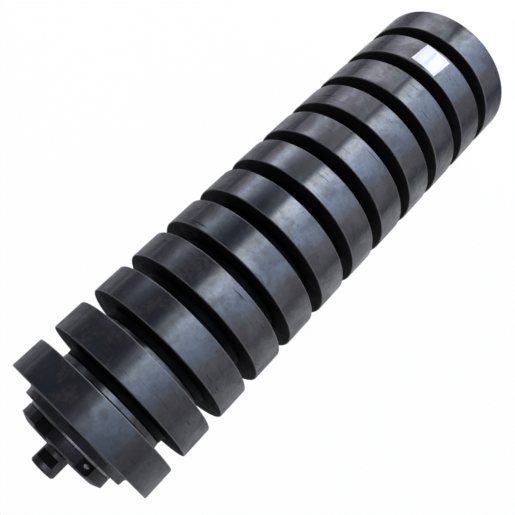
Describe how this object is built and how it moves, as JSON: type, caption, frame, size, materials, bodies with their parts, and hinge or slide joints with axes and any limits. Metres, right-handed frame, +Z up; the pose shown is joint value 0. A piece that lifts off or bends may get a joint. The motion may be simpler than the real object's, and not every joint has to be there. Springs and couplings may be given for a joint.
{
  "type": "impact conveyor roller",
  "caption": "Belt conveyor impact roller: stepped rubber rings on a steel tube that turns on sealed ball bearings about a standing shaft with bracket flats.",
  "frame": {"origin": "middle of the roller, on the shaft axis", "axes": "+X along the shaft from the near end (lower left in the picture) to the far end, +Z up with the roller lying on its rings and the bracket flats level"},
  "size_m": [0.619, 0.159, 0.159],
  "materials": {
    "rubber": "satin moulded rubber, scuffed",
    "tube_steel": "black paint",
    "housing_paint": "semi-gloss black paint",
    "collar_steel": "bare turned steel",
    "shaft_steel": "dark oiled cold-drawn bar",
    "bearing_steel": "ground",
    "cage_nylon": "natural moulded",
    "seal_nylon": "black moulded",
    "spring_steel": "phosphated",
    "cover_paint": "black paint",
    "weld_steel": "brushed weld bead",
    "sticker": "blank white film"
  },
  "bodies": {
    "axle": {"shaft": "shaft_steel", "near_bearing_inner_ring": "bearing_steel", "near_retaining_ring": "spring_steel", "near_grease_seal": "seal_nylon", "near_standing_seal": "seal_nylon", "near_dust_cover": "cover_paint", "far_bearing_inner_ring": "bearing_steel", "far_retaining_ring": "spring_steel", "far_grease_seal": "seal_nylon", "far_standing_seal": "seal_nylon", "far_dust_cover": "cover_paint"},
    "roller": {"roller_tube": "tube_steel", "rubber_ring_01": "rubber", "rubber_ring_02": "rubber", "rubber_ring_03": "rubber", "rubber_ring_04": "rubber", "rubber_ring_05": "rubber", "rubber_ring_06": "rubber", "rubber_ring_07": "rubber", "rubber_ring_08": "rubber", "rubber_ring_09": "rubber", "rubber_ring_10": "rubber", "rubber_ring_11": "rubber", "rubber_ring_12": "rubber", "near_stop_collar": "collar_steel", "near_bearing_housing": "housing_paint", "near_bearing_outer_ring": "bearing_steel", "near_turning_seal": "seal_nylon", "far_stop_collar": "collar_steel", "far_bearing_housing": "housing_paint", "far_bearing_outer_ring": "bearing_steel", "far_turning_seal": "seal_nylon"},
    "near_ball_set": {"near_bearing_balls": "bearing_steel", "near_bearing_cage": "cage_nylon"},
    "far_ball_set": {"far_bearing_balls": "bearing_steel", "far_bearing_cage": "cage_nylon"}
  },
  "joints": [
    {"name": "roller_spin", "type": "hinge", "parent": "axle", "child": "roller", "pos_m": [0, 0, 0], "axis": [1, 0, 0], "continuous": true},
    {"name": "near_ball_set_spin", "type": "hinge", "parent": "axle", "child": "near_ball_set", "pos_m": [-0.2664, 0, 0], "axis": [1, 0, 0], "continuous": true},
    {"name": "far_ball_set_spin", "type": "hinge", "parent": "axle", "child": "far_ball_set", "pos_m": [0.2664, 0, 0], "axis": [1, 0, 0], "continuous": true}
  ],
  "couplings": [
    {"joint": "near_ball_set_spin", "follows": "roller_spin", "ratio": 0.63218},
    {"joint": "far_ball_set_spin", "follows": "roller_spin", "ratio": 0.63218}
  ]
}
